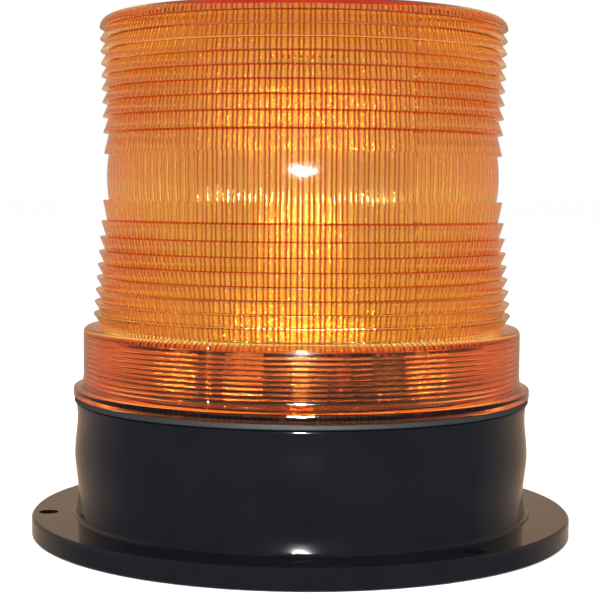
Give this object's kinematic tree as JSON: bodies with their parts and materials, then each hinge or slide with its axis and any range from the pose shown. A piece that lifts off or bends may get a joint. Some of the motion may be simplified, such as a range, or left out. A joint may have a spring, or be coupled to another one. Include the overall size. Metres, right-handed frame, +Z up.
{
  "type": "warning light",
  "caption": "Round flange-mounted flashing warning light: amber Fresnel lens that twists off a black base holding the batteries, flasher board and xenon tube.",
  "frame": {"origin": "centre of the flange's underside", "axes": "+Z up along the lamp's axis, -Y towards the front"},
  "size_m": [0.1778, 0.1778, 0.1688],
  "materials": {
    "housing_abs": "glossy moulded black",
    "gasket_rubber": "matt moulded rubber",
    "lens_polycarbonate": "clear amber moulded polycarbonate",
    "tray_plastic": "fine texture",
    "cell_jacket": "printed film over a steel can",
    "plated_steel": "bright nickel plate",
    "zinc_steel": "zinc plated",
    "red_pvc": "wire insulation",
    "black_pvc": "wire insulation",
    "foam": "closed-cell foam",
    "deck_plastic": "fine texture",
    "brass": "turned",
    "board_laminate": "solder-masked glass fibre",
    "capacitor_sleeve": "shrunk sleeve",
    "ferrite": "pressed ferrite",
    "winding_tape": "polyester tape",
    "epoxy_black": "moulded epoxy",
    "resistor_lacquer": "lacquered",
    "nylon_white": "moulded nylon",
    "reflector_aluminium": "polished",
    "ceramic_cream": "glazed",
    "tube_glass": "clear borosilicate",
    "window_epoxy": "clear over a red track"
  },
  "bodies": {
    "base": {"base_housing": "housing_abs", "battery_tray": "tray_plastic", "battery_cell_1": "cell_jacket", "battery_cell_2": "cell_jacket", "battery_cell_3": "cell_jacket", "contact_positive": "plated_steel", "contact_link_front": "plated_steel", "contact_link_back": "plated_steel", "contact_negative": "plated_steel", "contact_springs": "plated_steel", "red_lead": "red_pvc", "black_lead": "black_pvc", "tray_screws": "zinc_steel", "cell_pad": "foam", "deck": "deck_plastic", "latch_screws": "zinc_steel", "board_standoffs": "brass", "circuit_board": "board_laminate", "board_screws": "zinc_steel", "left_capacitor": "capacitor_sleeve", "right_capacitor": "capacitor_sleeve", "transformer_core": "ferrite", "transformer_winding": "winding_tape", "trigger_coil": "epoxy_black", "timer_chip": "epoxy_black", "resistors": "resistor_lacquer", "diodes": "epoxy_black", "driver_transistor": "epoxy_black", "switch_body": "zinc_steel", "photocell": "window_epoxy", "tube_socket": "nylon_white", "reflector_plate": "reflector_aluminium", "plate_spacers": "nylon_white", "plate_screws": "zinc_steel", "tube_base": "ceramic_cream", "tube_pins": "brass", "flash_tube": "tube_glass", "tube_electrodes": "plated_steel", "trigger_wire": "plated_steel", "tube_dome": "tube_glass"},
    "seal": {"lens_gasket": "gasket_rubber"},
    "lens": {"lens": "lens_polycarbonate"},
    "front_latch": {"front_latch": "deck_plastic"},
    "back_latch": {"back_latch": "deck_plastic"},
    "switch_lever": {"switch_lever": "plated_steel"}
  },
  "joints": [
    {"name": "lens_rise", "type": "slide", "parent": "base", "child": "seal", "axis": [0, 0, 1], "range_m": [0, 0.001]},
    {"name": "lens_turn", "type": "hinge", "parent": "seal", "child": "lens", "pos_m": [0, 0, 0.0454], "axis": [0, 0, 1], "range_deg": [0, 20]},
    {"name": "front_latch_turn", "type": "hinge", "parent": "base", "child": "front_latch", "pos_m": [0, -0.057, 0.048], "axis": [0, 0, 1], "range_deg": [0, 90]},
    {"name": "back_latch_turn", "type": "hinge", "parent": "base", "child": "back_latch", "pos_m": [0, 0.057, 0.048], "axis": [0, 0, 1], "range_deg": [0, 90]},
    {"name": "mode_switch", "type": "hinge", "parent": "base", "child": "switch_lever", "pos_m": [-0.018, -0.038, 0.0574], "axis": [0, 1, 0], "range_deg": [-14, 14]}
  ],
  "couplings": [
    {"joint": "lens_rise", "follows": "lens_turn", "m_per_rad": 0.0028648}
  ]
}
